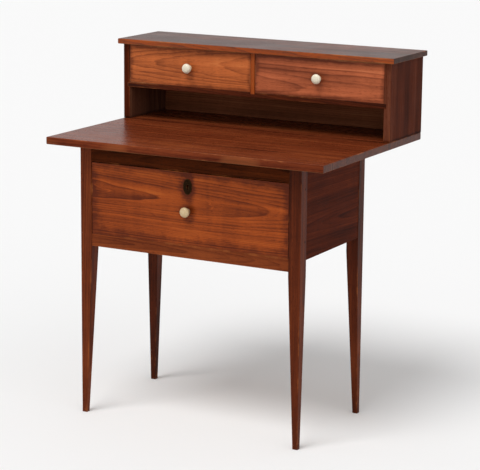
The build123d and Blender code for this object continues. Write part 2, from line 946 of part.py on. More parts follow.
def solids_of(piece):
    """The separate solids of a piece or of a list of pieces."""
    if isinstance(piece, list):
        return [solid for one in piece for solid in one.solids()]
    return list(piece.solids())


nodes = {}
nodes.update(table_nodes())
nodes.update(gallery_nodes())
nodes.update(main_drawer_nodes())
nodes.update(small_drawer_nodes("left_small_drawer", -small_drawer_x))
nodes.update(small_drawer_nodes("right_small_drawer", small_drawer_x))

os.makedirs("parts", exist_ok=True)
for name, piece in nodes.items():
    solids = solids_of(piece)
    shape = solids[0] if len(solids) == 1 else Compound(children=solids)
    shape.label = name
    export_step(shape, os.path.join("parts", name + ".step"))
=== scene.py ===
import math
import random
from dataclasses import dataclass, replace

import bpy
from mathutils import Euler, Matrix, Vector


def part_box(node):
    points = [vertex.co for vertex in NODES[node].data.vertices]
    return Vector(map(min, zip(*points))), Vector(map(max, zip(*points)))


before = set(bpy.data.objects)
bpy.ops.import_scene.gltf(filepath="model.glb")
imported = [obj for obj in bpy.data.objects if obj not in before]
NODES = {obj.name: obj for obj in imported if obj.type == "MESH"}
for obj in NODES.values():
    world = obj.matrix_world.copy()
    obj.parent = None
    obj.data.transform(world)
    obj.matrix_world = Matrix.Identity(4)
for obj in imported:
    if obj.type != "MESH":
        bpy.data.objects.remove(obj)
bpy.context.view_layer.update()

# Places and sizes are in metres. X runs to the right, the front faces -Y, and Z is up from the floor.
Y_AXIS, Z_AXIS = 1, 2

CAMERA_PLACE = Vector((2.3797, -4.3465, 1.5481))
CAMERA_AIM = Vector((0.0423, -0.0499, 0.4782))
CAMERA_ROLL = math.radians(0.55)
CAMERA_LENS = 145.50
CAMERA_SENSOR = 36.0

FLOOR_RADIUS = 45.0
FLOOR_SIDES = 96
FLOOR_COLOUR = (0.89, 0.89, 0.89, 1.0)
WHITE = (1.0, 1.0, 1.0, 1.0)
BACKGROUND_LEVEL = 0.945
ROOM_LEVEL = 0.53

# Each sun: its angle round the desk from the front, its height, its strength and its own width.
# Angles are in degrees, and a wider sun throws softer shadows.
SUNS = {
    "key_sun": (-12, 60, 1.70, 30),
    "fill_sun": (60, 32, 0.42, 60),
}

# How near points are joined before an edge is rounded, and at the poles of the CAD's own round corners.
WELD_DISTANCE = 0.00002
POLE_DISTANCE = 0.0000002

# Faces that meet at less than the flat angle are one face. Above the edge angle they make an edge.
FLAT_ANGLE = math.radians(0.6)
EDGE_ANGLE = math.radians(38)
BOARD_ARRIS = 0.0007
ARRIS_SEGMENTS = 3

# The legs taper on their inner faces, from this height down to the foot.
TAPER_TOP = 0.438
LEG_WIDTH = 0.033
FOOT_WIDTH = 0.014

# Painted light and shade: how much lighter or darker than the frame's middle tone each leg is painted,
# lit at the front left and shaded at the rear.
LEG_PAINTED_LIGHT = {
    ("front", "left"): 0.14,
    ("front", "right"): -0.04,
    ("rear", "left"): -0.14,
    ("rear", "right"): -0.10,
}

# The same for the front edges of the gallery's sides: a painted highlight on the right one, painted
# shade on the left.
GALLERY_EDGE_PAINTED_LIGHT = {"left": -0.16, "right": 0.30}

# How light the bone of each knob is: 0 is the darkest of its colours and 1 the lightest. Above 1,
# more of the knob has the lightest. The one bone is painted darker on the main knob, as painted shade,
# and lighter on the small ones, as painted highlights.
BONE_TONE_AND_LIGHT = {"drawer_knob": 0.42, "left_small_drawer_knob": 1.12, "right_small_drawer_knob": 1.08}

# How far in from their outline the drawer fronts get darker.
MAIN_BORDER = 0.030
SMALL_BORDER = 0.014

# How much darker the polish is round the main drawer's knob, round the small ones and round the keyhole.
KNOB_GRIME = 0.34
SMALL_KNOB_GRIME = 0.12
KEYHOLE_GRIME = 0.52

# How far darkening reaches out from the corner where a board meets another: painted shade under the
# desktop on the aprons and the upper rail, and dust with painted shade where the gallery meets the
# desktop.
DESKTOP_DUST_AND_SHADE = 0.010
APRON_PAINTED_SHADE = 0.012
GALLERY_DUST_AND_SHADE = 0.009
RAIL_PAINTED_SHADE = 0.014

# Noise scales are in features per metre. Those of the log run along its grain first, and then across it.
DRIFT_SCALE = (1.3, 8, 8)
DRIFT_REACH = (0, 0.016, 0.016)
WOBBLE_SCALE = (9, 75, 75)
WOBBLE_REACH = (0, 0.0022, 0.0022)
STREAK_SCALE = (1.1, 46, 46)
FIBRE_SCALE = (7, 520, 520)
PORE_SCALE = (70, 1500, 1500)
PORE_SPAN = (0.60, 0.72)
CLOUD_SCALE = (3.5, 6, 6)
CURL_SCALE = (42, 5, 5)
PLANE_MARK_SCALE = (3, 22, 22)

# The years of the tree: how their widths change, how sharply late wood darkens and where it ends.
PACE_SCALE = 0.21
PACE_REACH = 3.2
LATE_POWER = 2.6
LATE_END = 0.90

# Where a board was sawn from its log: the pith's distance, its shift and its lean, and the log's length.
PITH_DISTANCE = (0.030, 0.085)
PITH_SHIFT = 0.3
PITH_LEAN = 0.03
LOG_LENGTH = 40

# How far a board may differ from others of its wood: in the number of its rings and in its tone.
RING_RANGE = (0.85, 1.2)
TONE_RANGE = 0.04

# The finish and its wear. A depth is how much darker a place gets, and a share how much of it is worn.
# Ragged is how uneven an outline is: that of the wear in metres, that of a border as a share of its
# reach, and that of a ring round a fitting, like the ring's span, in half sizes of the fitting.
RUB_SCALE = (38, 38, 38)
POLISH_SCALE = (11, 11, 11)
WEAR_SCALE = (9, 9, 9)
WEAR_SPAN = (0.38, 0.66)
WEAR_REACH = 0.0030
LEAST_WEAR = 0.0004
WEAR_RAGGED = 0.008
WEAR_FADE = (1.0, -0.4)
SCUFF_SCALE = (150, 150, 45)
SCUFF_SPAN = (0.56, 0.66)
SCUFF_HEIGHT = (0.11, 0.01)
SCUFF_SHARE = 0.5
SCRATCH_LINES = ((0.35, 620), (-0.9, 700), (1.25, 560))
SCRATCH_LENGTH_SCALE = 5
SCRATCH_SPAN = (0.74, 0.80)
SCRATCH_SHARE = 0.22
BORDER_RAGGED = 1.4
BORDER_FULL = -0.1
BORDER_DEPTH = 0.34
FITTING_RAGGED = 2.2
FITTING_SPAN = (2.5, 0.7)
# Painted shade, with dust beside the gallery: how much darker a corner where boards meet gets.
DUST_AND_SHADE_DEPTH = 0.45

# How much uneven polish, fibres and wear change the roughness.
POLISH_ROUGHNESS = 0.16
FIBRE_ROUGHNESS = 0.10
WEAR_ROUGHNESS = 0.14

# What makes the relief of the grain, and how high the bumps of the grain and of the plane's marks are.
FIBRE_RELIEF = 0.5
LATE_RELIEF = 0.25
PORE_RELIEF = 0.6
GRAIN_BUMP = 0.00018
PLANE_MARK_BUMP = 0.0009
BUMP_STRENGTH = 0.5

# A face looks along an axis where its normal has at least this much of it.
END_FACING = 0.6
RAW_FACING = 0.5

DRAWERS = ("drawer", "left_small_drawer", "right_small_drawer")
IRON_NODES = (
    "desktop_screws", "gallery_nails", "gallery_screws", "drawer_nails", "lock_case",
    "lock_screws", "lock_bolt", "left_small_drawer_nails", "right_small_drawer_nails",
)

# The turn that lays the grain of a board along its log's X.
GRAIN_TURN = {
    "x": Euler((0, 0, 0)),
    "y": Euler((0, 0, -math.pi / 2)),
    "z": Euler((0, math.pi / 2, 0)),
}


def srgb(red, green, blue):
    """A colour written from 0 to 255 as the eye sees it, as the linear colour that a shader takes."""
    def linear(level):
        share = level / 255
        return share / 12.92 if share <= 0.04045 else ((share + 0.055) / 1.055) ** 2.4
    return (linear(red), linear(green), linear(blue), 1.0)


class Tree:
    """Short calls that add nodes to the node tree of a material, a group or the world."""

    def __init__(self, tree):
        self.tree = tree

    def add(self, kind, inputs=None, **settings):
        node = self.tree.nodes.new(kind)
        for name, value in settings.items():
            setattr(node, name, value)
        for name, value in (inputs or {}).items():
            self.feed(node.inputs[name], value)
        return node

    def feed(self, socket, value):
        if isinstance(value, bpy.types.NodeSocket):
            self.tree.links.new(value, socket)
        else:
            socket.default_value = value

    def math(self, operation, *values):
        return self.add("ShaderNodeMath", dict(enumerate(values)), operation=operation).outputs[0]

    def vector(self, operation, *values):
        node = self.add("ShaderNodeVectorMath", dict(enumerate(values)), operation=operation)
        return node.outputs["Value" if operation in ("LENGTH", "DOT_PRODUCT") else "Vector"]

    def scaled(self, vector, scale):
        return self.vector("MULTIPLY", vector, scale)

    def parts(self, vector):
        node = self.add("ShaderNodeSeparateXYZ", {0: vector})
        return node.outputs[0], node.outputs[1], node.outputs[2]

    def noise(self, place, scale=None, detail=2.0, roughness=0.55, distortion=0.0, output="Fac"):
        """Noise at a place, with this many features in a metre along each axis."""
        inputs = {
            "Vector": self.scaled(place, scale) if scale else place,
            "Scale": 1.0,
            "Detail": detail,
            "Roughness": roughness,
            "Distortion": distortion,
        }
        return self.add("ShaderNodeTexNoise", inputs).outputs[output]

    def line_noise(self, value):
        inputs = {"W": value, "Scale": 1.0}
        return self.add("ShaderNodeTexNoise", inputs, noise_dimensions="1D").outputs[0]

    def span(self, value, low, high, to_low=0.0, to_high=1.0, smooth=True):
        """A value from low to high, as one from to_low to to_high. Beyond the ends it is held."""
        kind = "SMOOTHSTEP" if smooth else "LINEAR"
        inputs = {
            "Value": value,
            "From Min": low,
            "From Max": high,
            "To Min": to_low,
            "To Max": to_high,
        }
        return self.add("ShaderNodeMapRange", inputs, interpolation_type=kind).outputs[0]

    def mix(self, factor, first, second):
        """Two colours mixed. The node's sockets share their names, so they are told by number."""
        node = self.add("ShaderNodeMix", {0: factor, 6: first, 7: second}, data_type="RGBA")
        return node.outputs[2]

    def ramp(self, value, stops):
        node = self.add("ShaderNodeValToRGB", {0: value})
        elements = node.color_ramp.elements
        for place, colour in stops[1:-1]:
            elements.new(place).color = colour
        elements[0].position, elements[0].color = stops[0]
        elements[-1].position, elements[-1].color = stops[-1]
        return node.outputs[0]

    def sum(self, start, terms):
        """start plus each value's distance from its middle of 0.5, times its weight."""
        total = start - 0.5 * sum(weight for _, weight in terms)
        for value, weight in terms:
            total = self.math("MULTIPLY_ADD", value, weight, total)
        return total

    def bump(self, height, distance, strength, normal=None):
        inputs = {"Height": height, "Distance": distance, "Strength": strength}
        if normal is not None:
            inputs["Normal"] = normal
        return self.add("ShaderNodeBump", inputs).outputs[0]

    def object_place(self):
        return self.add("ShaderNodeTexCoord").outputs["Object"]


def new_group(name, inputs, outputs):
    """An empty node group with its sockets, and the two nodes that stand for them inside it."""
    tree = bpy.data.node_groups.new(name, "ShaderNodeTree")
    for socket, kind in inputs.items():
        tree.interface.new_socket(socket, in_out="INPUT", socket_type=kind)
    for socket in outputs:
        tree.interface.new_socket(socket, in_out="OUTPUT", socket_type="NodeSocketFloat")
    shade = Tree(tree)
    return shade, shade.add("NodeGroupInput"), shade.add("NodeGroupOutput")


def bend(shade, place, scale, reach, detail):
    """How far a slow noise shifts a place in the log, by up to half of reach to either side."""
    shift = shade.noise(place, scale, detail=detail, output="Color")
    return shade.scaled(shade.vector("SUBTRACT", shift, (0.5, 0.5, 0.5)), reach)


def figure_group():
    """What makes the figure of a board, each from 0 to 1, from a place in its log. X is the pith."""
    outputs = ("Late", "Ring", "Streak", "Fibre", "Pore", "Cloud", "Curl")
    inputs = {"Place": "NodeSocketVector", "Rings": "NodeSocketFloat"}
    shade, given, result = new_group("wood_figure", inputs, outputs)
    place = given.outputs["Place"]
    drift = bend(shade, place, DRIFT_SCALE, DRIFT_REACH, detail=1.5)
    wobble = bend(shade, place, WOBBLE_SCALE, WOBBLE_REACH, detail=1.0)
    bent = shade.vector("ADD", shade.vector("ADD", place, drift), wobble)
    radius = shade.vector("LENGTH", shade.scaled(bent, (0, 1, 1)))
    rings = shade.math("MULTIPLY", radius, given.outputs["Rings"])
    pace = shade.line_noise(shade.math("MULTIPLY", rings, PACE_SCALE))
    age = shade.math("MULTIPLY_ADD", pace, PACE_REACH, rings)
    year = shade.math("FLOOR", age)
    season = shade.math("SUBTRACT", age, year)
    darkening = shade.math("POWER", season, LATE_POWER)
    late = shade.math("MULTIPLY", darkening, shade.span(season, LATE_END, 1.0, 1.0, 0.0))
    values = {
        "Late": late,
        "Ring": shade.add("ShaderNodeTexWhiteNoise", {"W": year}, noise_dimensions="1D").outputs[0],
        "Streak": shade.noise(bent, STREAK_SCALE, detail=3.0, roughness=0.6),
        "Fibre": shade.noise(bent, FIBRE_SCALE, detail=3.0, roughness=0.65),
        "Pore": shade.span(shade.noise(bent, PORE_SCALE, detail=1.0), *PORE_SPAN),
        "Cloud": shade.noise(place, CLOUD_SCALE, detail=2.5),
        "Curl": shade.noise(place, CURL_SCALE, detail=1.0, distortion=0.5),
    }
    for name, value in values.items():
        shade.feed(result.inputs[name], value)
    return shade.tree


def edge_group():
    """How far a point on the face of a box is from the nearest edge of the box, in metres."""
    inputs = {"Place": "NodeSocketVector", "Centre": "NodeSocketVector", "Half": "NodeSocketVector"}
    shade, given, result = new_group("box_edge", inputs, ("Distance",))
    offset = shade.vector("SUBTRACT", given.outputs["Place"], given.outputs["Centre"])
    offset = shade.vector("ABSOLUTE", offset)
    x, y, z = shade.parts(shade.vector("SUBTRACT", given.outputs["Half"], offset))
    nearer = shade.math("MINIMUM", x, y)
    further = shade.math("MAXIMUM", x, y)
    shade.feed(result.inputs[0], shade.math("MAXIMUM", nearer, shade.math("MINIMUM", further, z)))
    return shade.tree


FIGURE = figure_group()
EDGE = edge_group()

RAW_COLOURS = ((0.0, srgb(96, 55, 33)), (0.5, srgb(144, 92, 57)), (1.0, srgb(178, 127, 85)))
INNER_COLOURS = ((0.0, srgb(92, 50, 32)), (0.5, srgb(146, 86, 56)), (1.0, srgb(178, 120, 82)))
# Painted shade: a darker copy of the raw colours, for the inner faces of the gallery's sides, which
# stand in shade.
SHADED_RAW_COLOURS = ((0.0, srgb(66, 38, 28)), (0.5, srgb(102, 62, 45)), (1.0, srgb(138, 92, 66)))


@dataclass
class Wood:
    """One wood and its finish: its colours from dark to light, its figure's weights and its gloss."""
    dark: tuple
    middle: tuple
    light: tuple
    worn: tuple
    rings_per_metre: float
    late_weight: float
    ring_weight: float
    streak_weight: float
    fibre_weight: float
    cloud_weight: float
    curl_weight: float
    pore_weight: float
    roughness: float
    refraction: float
    wear: float


@dataclass
class Board:
    """How one board is finished: its wood, its grain's axis and what its use has left."""
    wood: Wood
    grain: str
    raw_side: tuple = None  # the way that its unvarnished side faces
    raw_colours: tuple = RAW_COLOURS
    tone: float = 0.0
    rounded: bool = False  # its edges are round in the CAD already
    dust_and_shade: tuple = ()  # the axis, level and reach of each line of dust and painted shade
    border: float = 0.0  # how far in from its outline it gets darker
    handled: tuple = ()  # each fitting with a dark ring round it, and how dark
    scratched: bool = False
    front_tone: float = 0.0  # painted light: how much lighter its front faces are painted, below 0 painted shade
    ends_painted_reflection: float = 0.0  # painted reflection: how far its end grain is greyed towards a pale reflection colour


FRAME_WOOD = Wood(
    dark=srgb(42, 14, 6), middle=srgb(88, 36, 15), light=srgb(130, 62, 28), worn=srgb(158, 88, 44),
    rings_per_metre=300, late_weight=-0.30, ring_weight=0.20, streak_weight=1.0, fibre_weight=0.5,
    cloud_weight=0.7, curl_weight=0.10, pore_weight=0.4, roughness=0.40, refraction=1.145, wear=0.65,
)
PANEL_WOOD = replace(
    FRAME_WOOD, dark=srgb(38, 12, 5), middle=srgb(80, 30, 12), light=srgb(120, 54, 24),
    roughness=0.50, refraction=1.07,
)
RAIL_WOOD = replace(PANEL_WOOD, dark=srgb(40, 15, 5), middle=srgb(82, 35, 12), light=srgb(122, 62, 24))
# Painted sheen: a greyer, pinker copy of the panel wood, for the right side of the gallery.
PANEL_WOOD_PAINTED_SHEEN = replace(PANEL_WOOD, middle=srgb(82, 35, 18), light=srgb(116, 68, 50))
TOP_WOOD = Wood(
    dark=srgb(66, 22, 10), middle=srgb(117, 52, 26), light=srgb(156, 84, 42), worn=srgb(176, 104, 60),
    rings_per_metre=280, late_weight=-0.34, ring_weight=0.22, streak_weight=0.95, fibre_weight=0.45,
    cloud_weight=0.7, curl_weight=0.14, pore_weight=0.4, roughness=0.27, refraction=1.12, wear=0.75,
)
# Its middle colour, which the top face mostly shows, is greyed: partly the wood's own colour, partly a
# painted reflection of the pale room.
GALLERY_TOP_WOOD = replace(
    TOP_WOOD, dark=srgb(50, 24, 14), middle=srgb(85, 51, 40), light=srgb(156, 74, 34),
    roughness=0.36, refraction=1.16, wear=0.95,
)
FRONT_WOOD = Wood(
    dark=srgb(84, 31, 9), middle=srgb(152, 68, 22), light=srgb(190, 100, 40), worn=srgb(194, 112, 54),
    rings_per_metre=250, late_weight=-0.34, ring_weight=0.26, streak_weight=0.95, fibre_weight=0.45,
    cloud_weight=0.6, curl_weight=0.16, pore_weight=0.35, roughness=0.33, refraction=1.20, wear=0.5,
)
# The right front is painted greyer and pinker than the left, as a painted sheen.
SMALL_FRONT_WOOD = {
    "left": replace(
        FRONT_WOOD, dark=srgb(120, 58, 28), middle=srgb(199, 106, 54), light=srgb(227, 140, 79),
        worn=srgb(226, 150, 92),
    ),
    "right": replace(
        FRONT_WOOD, dark=srgb(116, 56, 33), middle=srgb(191, 102, 64), light=srgb(219, 136, 90),
        worn=srgb(222, 148, 98),
    ),
}
END_WOOD = replace(
    FRAME_WOOD, dark=srgb(26, 9, 5), middle=srgb(54, 21, 10), light=srgb(86, 38, 19), wear=0.0,
)
PINE = Wood(
    dark=srgb(150, 98, 56), middle=srgb(200, 149, 97), light=srgb(222, 182, 132),
    worn=srgb(226, 190, 146),
    rings_per_metre=330, late_weight=-0.50, ring_weight=0.2, streak_weight=0.5, fibre_weight=0.4,
    cloud_weight=0.6, curl_weight=0.05, pore_weight=0.1, roughness=0.70, refraction=1.35, wear=0.3,
)
RAW_ROUGHNESS = 0.78
END_GRAIN_DEPTH = 0.24
# Painted reflection: the pale grey that end grain is mixed towards.
END_REFLECTION_COLOUR = srgb(98, 86, 82)


def log_place(shade, place, node, grain):
    """The place in the log that a piece was sawn from.

    The grain runs along X, and the pith lies below one of the piece's broad faces.
    """
    low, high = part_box(node)
    centre, size = (low + high) / 2, high - low
    chance = random.Random(node)
    across = sorted((axis for axis in range(3) if "xyz"[axis] != grain), key=lambda axis: size[axis])
    pith = Vector(centre)
    pith[across[0]] += chance.choice((-1, 1)) * chance.uniform(*PITH_DISTANCE)
    pith[across[1]] += chance.uniform(-PITH_SHIFT, PITH_SHIFT) * size[across[1]]
    lean = (0, chance.uniform(-PITH_LEAN, PITH_LEAN), chance.uniform(-PITH_LEAN, PITH_LEAN))
    turn = Euler(lean).to_matrix() @ GRAIN_TURN[grain].to_matrix()
    start = Vector((chance.uniform(0, LOG_LENGTH), 0, 0))
    inputs = {"Vector": place, "Location": start - turn @ pith, "Rotation": turn.to_euler()}
    return shade.add("ShaderNodeMapping", inputs).outputs[0]


def add_group(shade, tree, inputs):
    node = shade.add("ShaderNodeGroup", node_tree=tree)
    for name, value in inputs.items():
        shade.feed(node.inputs[name], value)
    return node.outputs


def new_material(name):
    material = bpy.data.materials.new(name)
    material.use_nodes = True
    return material, Tree(material.node_tree), material.node_tree.nodes["Principled BSDF"]


def figure_tone(shade, wood, figure, shift):
    """How light the bare figure of the wood is, from 0 to 1."""
    tone = shade.sum(0.5 + shift, [
        (figure["Ring"], wood.ring_weight),
        (figure["Streak"], wood.streak_weight),
        (figure["Fibre"], wood.fibre_weight),
        (figure["Cloud"], wood.cloud_weight),
        (figure["Curl"], wood.curl_weight),
    ])
    tone = shade.math("MULTIPLY_ADD", figure["Late"], wood.late_weight, tone)
    return shade.math("MULTIPLY_ADD", figure["Pore"], -wood.pore_weight, tone)


def leg_edge(shade, place, node):
    """How far a point on a tapered leg is from the nearest of its four long edges."""
    low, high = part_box(node)
    x, y, z = shade.parts(place)
    width = shade.span(z, 0, TAPER_TOP, FOOT_WIDTH, LEG_WIDTH, smooth=False)
    outer_x = low.x if abs(low.x) > abs(high.x) else high.x
    outer_y = low.y if "front" in node else high.y
    nearest = []
    for along, outer in ((x, outer_x), (y, outer_y)):
        depth = shade.math("ABSOLUTE", shade.math("SUBTRACT", along, outer))
        nearest.append(shade.math("MINIMUM", depth, shade.math("SUBTRACT", width, depth)))
    return shade.math("MAXIMUM", *nearest)


def box_edge(shade, place, node):
    low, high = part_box(node)
    inputs = {"Place": place, "Centre": (low + high) / 2, "Half": (high - low) / 2}
    return add_group(shade, EDGE, inputs)[0]


def ragged(shade, value, rub, reach):
    """A distance made uneven by noise, by up to half of reach to either side."""
    return shade.math("MULTIPLY_ADD", shade.math("SUBTRACT", rub, 0.5), reach, value)


def edge_wear(shade, place, edge, rub):
    """The finish rubbed off along the edges, in some stretches much more than in others."""
    handled = shade.span(shade.noise(place, WEAR_SCALE), *WEAR_SPAN)
    reach = shade.math("MULTIPLY_ADD", handled, WEAR_REACH, LEAST_WEAR)
    share = shade.math("DIVIDE", ragged(shade, edge, rub, WEAR_RAGGED), reach)
    return shade.math("MULTIPLY", shade.span(share, *WEAR_FADE), handled)


def foot_scuffs(shade, place):
    """Kicks and mop marks on the lowest part of the legs."""
    knocks = shade.span(shade.noise(place, SCUFF_SCALE, detail=3.0, roughness=0.7), *SCUFF_SPAN)
    return shade.math("MULTIPLY", knocks, shade.span(shade.parts(place)[Z_AXIS], *SCUFF_HEIGHT))


def outline_darkening(shade, place, node, reach, rub):
    """Darker towards the outline of a drawer front."""
    low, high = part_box(node)
    centre, half = (low + high) / 2, (high - low) / 2
    x, _, z = shade.parts(shade.vector("ABSOLUTE", shade.vector("SUBTRACT", place, centre)))
    to_side = shade.math("SUBTRACT", half.x, x)
    inside = shade.math("MINIMUM", to_side, shade.math("SUBTRACT", half.z, z))
    return shade.span(ragged(shade, inside, rub, reach * BORDER_RAGGED), reach, BORDER_FULL * reach)


def ring_place(shade, place, low, high):
    """How far a place is from the middle of a fitting's box, seen from the front: 1 is its outline."""
    centre, half = (low + high) / 2, (high - low) / 2
    offset = shade.vector("SUBTRACT", place, centre)
    return shade.vector("LENGTH", shade.scaled(offset, (1 / half.x, 0, 1 / half.z)))


def fitting_grime(shade, place, fitting, rub):
    """Dark polish in a ring round a knob's foot or an escutcheon."""
    low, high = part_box(fitting)
    spread = ring_place(shade, place, low, high)
    return shade.span(ragged(shade, spread, rub, FITTING_RAGGED), *FITTING_SPAN)


def corner_dust_and_shade(shade, place, axis, level, reach, rub):
    """Painted shade, with dust and old wax beside the gallery, along the corner where this board meets
    another.
    """
    away = shade.math("ABSOLUTE", shade.math("SUBTRACT", shade.parts(place)[axis], level))
    return shade.span(ragged(shade, away, rub, reach), reach, 0.0)


def scratches(shade, place):
    """Fine straight scratches, a few in each of three directions."""
    total = 0.0
    for turn, thinness in SCRATCH_LINES:
        scale = (SCRATCH_LENGTH_SCALE, thinness, SCRATCH_LENGTH_SCALE)
        inputs = {"Vector": place, "Rotation": (0, 0, turn), "Scale": scale}
        lines = shade.noise(shade.add("ShaderNodeMapping", inputs).outputs[0], detail=0.0)
        total = shade.math("MAXIMUM", shade.span(lines, *SCRATCH_SPAN), total)
    return total


@dataclass
class Spot:
    """What the finish of a board is worked out from, at the spot that is being coloured."""
    place: bpy.types.NodeSocket
    facing: bpy.types.NodeSocket
    end_grain: bpy.types.NodeSocket
    rub: bpy.types.NodeSocket
    figure: bpy.types.bpy_prop_collection


def board_spot(shade, board, log, rings):
    place = shade.object_place()
    facing = shade.add("ShaderNodeNewGeometry").outputs["True Normal"]
    along = shade.math("ABSOLUTE", shade.parts(facing)["xyz".index(board.grain)])
    return Spot(
        place=place,
        facing=facing,
        end_grain=shade.math("GREATER_THAN", along, END_FACING),
        rub=shade.noise(place, RUB_SCALE, detail=3.0, roughness=0.6),
        figure=add_group(shade, FIGURE, {"Place": log, "Rings": rings}),
    )


def board_tone(shade, node, board, spot, shift):
    """How light a varnished spot is: 0 is its wood's dark colour and 1 its light one."""
    tone = figure_tone(shade, board.wood, spot.figure, board.tone + shift)
    darker = []
    if board.border:
        darker.append((outline_darkening(shade, spot.place, node, board.border, spot.rub), BORDER_DEPTH))
    for fitting, depth in board.handled:
        darker.append((fitting_grime(shade, spot.place, fitting, spot.rub), depth))
    # Painted shade, with dust beside the gallery, in the corners where the board meets another.
    for line in board.dust_and_shade:
        darker.append((corner_dust_and_shade(shade, spot.place, *line, spot.rub), DUST_AND_SHADE_DEPTH))
    # Painted light and shade on the faces that look to the front.
    if board.front_tone:
        to_front = shade.math("LESS_THAN", shade.parts(spot.facing)[Y_AXIS], -END_FACING)
        darker.append((to_front, -board.front_tone))
    darker.append((spot.end_grain, END_GRAIN_DEPTH))
    for share, depth in darker:
        tone = shade.math("MULTIPLY_ADD", share, -depth, tone)
    return tone


def board_wear(shade, node, board, spot):
    """How much of the finish is worn away, from 0 to 1."""
    leg = node.startswith("leg")
    edge = leg_edge(shade, spot.place, node) if leg else box_edge(shade, spot.place, node)
    wear = shade.math("MULTIPLY", edge_wear(shade, spot.place, edge, spot.rub), board.wood.wear)
    if board.scratched:
        scratched = shade.math("MULTIPLY", scratches(shade, spot.place), SCRATCH_SHARE)
        wear = shade.math("MAXIMUM", wear, scratched)
    if leg:
        scuffed = shade.math("MULTIPLY", foot_scuffs(shade, spot.place), SCUFF_SHARE)
        wear = shade.math("MAXIMUM", wear, scuffed)
    return wear


def board_relief(shade, log, figure):
    """The normal of a planed board: open pores and fibres on the long waves that a hand plane leaves."""
    relief = shade.sum(0.5, [(figure["Fibre"], FIBRE_RELIEF), (figure["Late"], LATE_RELIEF)])
    relief = shade.math("MULTIPLY_ADD", figure["Pore"], -PORE_RELIEF, relief)
    waves = shade.noise(log, PLANE_MARK_SCALE, detail=1.0)
    planed = shade.bump(waves, PLANE_MARK_BUMP, BUMP_STRENGTH)
    return shade.bump(relief, GRAIN_BUMP, BUMP_STRENGTH, planed)


def wood_material(node, board):
    """The finish of one board: its piece of the log, its colour, wear, pores, gloss and plane marks."""
    material, shade, surface = new_material(node + "_wood")
    wood, chance = board.wood, random.Random(node + " tone")
    log = log_place(shade, shade.object_place(), node, board.grain)
    rings = wood.rings_per_metre * chance.uniform(*RING_RANGE)
    spot = board_spot(shade, board, log, rings)
    tone = board_tone(shade, node, board, spot, chance.uniform(-TONE_RANGE, TONE_RANGE))
    wear = board_wear(shade, node, board, spot)
    colour = shade.ramp(tone, [(0.0, wood.dark), (0.5, wood.middle), (1.0, wood.light)])
    # Painted reflection of the pale room on the end grain.
    if board.ends_painted_reflection:
        reflected = shade.math("MULTIPLY", spot.end_grain, board.ends_painted_reflection)
        colour = shade.mix(reflected, colour, END_REFLECTION_COLOUR)
    colour = shade.mix(wear, colour, wood.worn)

    polish = shade.noise(spot.place, POLISH_SCALE, detail=3.0)
    uneven = [(polish, POLISH_ROUGHNESS), (spot.figure["Fibre"], FIBRE_ROUGHNESS)]
    rough = shade.math("MULTIPLY_ADD", wear, WEAR_ROUGHNESS, shade.sum(wood.roughness, uneven))
    if board.raw_side:
        to_raw_side = shade.vector("DOT_PRODUCT", spot.facing, board.raw_side)
        raw = shade.math("GREATER_THAN", to_raw_side, RAW_FACING)
        colour = shade.mix(raw, colour, shade.ramp(tone, board.raw_colours))
        rough = shade.math("MAXIMUM", rough, shade.math("MULTIPLY", raw, RAW_ROUGHNESS))
    shade.feed(surface.inputs["Base Color"], colour)
    shade.feed(surface.inputs["Roughness"], rough)
    shade.feed(surface.inputs["Normal"], board_relief(shade, log, spot.figure))
    surface.inputs["IOR"].default_value = wood.refraction
    return material


def dress(node, material):
    for slot in NODES[node].material_slots:
        slot.material = material


def soften_edges(node, width):
    """Rounds the sharp edges of a CAD node a little, as a plane or sandpaper leaves them."""
    piece = NODES[node]
    weld = piece.modifiers.new("weld", "WELD")
    weld.merge_threshold = WELD_DISTANCE
    merge = piece.modifiers.new("merge", "DECIMATE")
    merge.decimate_type = "DISSOLVE"
    merge.angle_limit = FLAT_ANGLE
    bevel = piece.modifiers.new("bevel", "BEVEL")
    bevel.width = width
    bevel.segments = ARRIS_SEGMENTS
    bevel.limit_method = "ANGLE"
    bevel.angle_limit = EDGE_ANGLE
    bevel.use_clamp_overlap = False
    bevel.miter_outer = "MITER_ARC"
    normals = piece.modifiers.new("normals", "WEIGHTED_NORMAL")
    normals.keep_sharp = False


def join_poles(node):
    """Joins the points that lie on each other at the poles of the CAD's round corners and knobs."""
    weld = NODES[node].modifiers.new("weld", "WELD")
    weld.merge_threshold = POLE_DISTANCE


def base_boards():
    """The legs, rails and aprons, and the boards that carry the main drawer."""
    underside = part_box("desktop_front")[0].z
    boards = {}
    # Each leg gets its painted light or shade as its tone.
    for end, side in LEG_PAINTED_LIGHT:
        boards[f"leg_{end}_{side}"] = Board(FRAME_WOOD, "z", rounded=True, tone=LEG_PAINTED_LIGHT[end, side])
    for side, inward in (("left", 1), ("right", -1)):
        boards[f"apron_{side}"] = Board(
            PANEL_WOOD, "y", (inward, 0, 0), dust_and_shade=((Z_AXIS, underside, APRON_PAINTED_SHADE),))
        for name in ("runner", "kicker", "guide"):
            boards[f"{name}_{side}"] = Board(PINE, "y")
    boards["apron_back"] = Board(PANEL_WOOD, "x", (0, -1, 0))
    boards["lower_rail"] = Board(FRAME_WOOD, "x", (0, 1, 0), tone=0.35)
    boards["upper_rail"] = Board(
        RAIL_WOOD, "x", (0, 1, 0), dust_and_shade=((Z_AXIS, underside, RAIL_PAINTED_SHADE),))
    boards["joint_pegs"] = Board(END_WOOD, "z")
    boards["drawer_stops"] = Board(PINE, "x")
    return boards


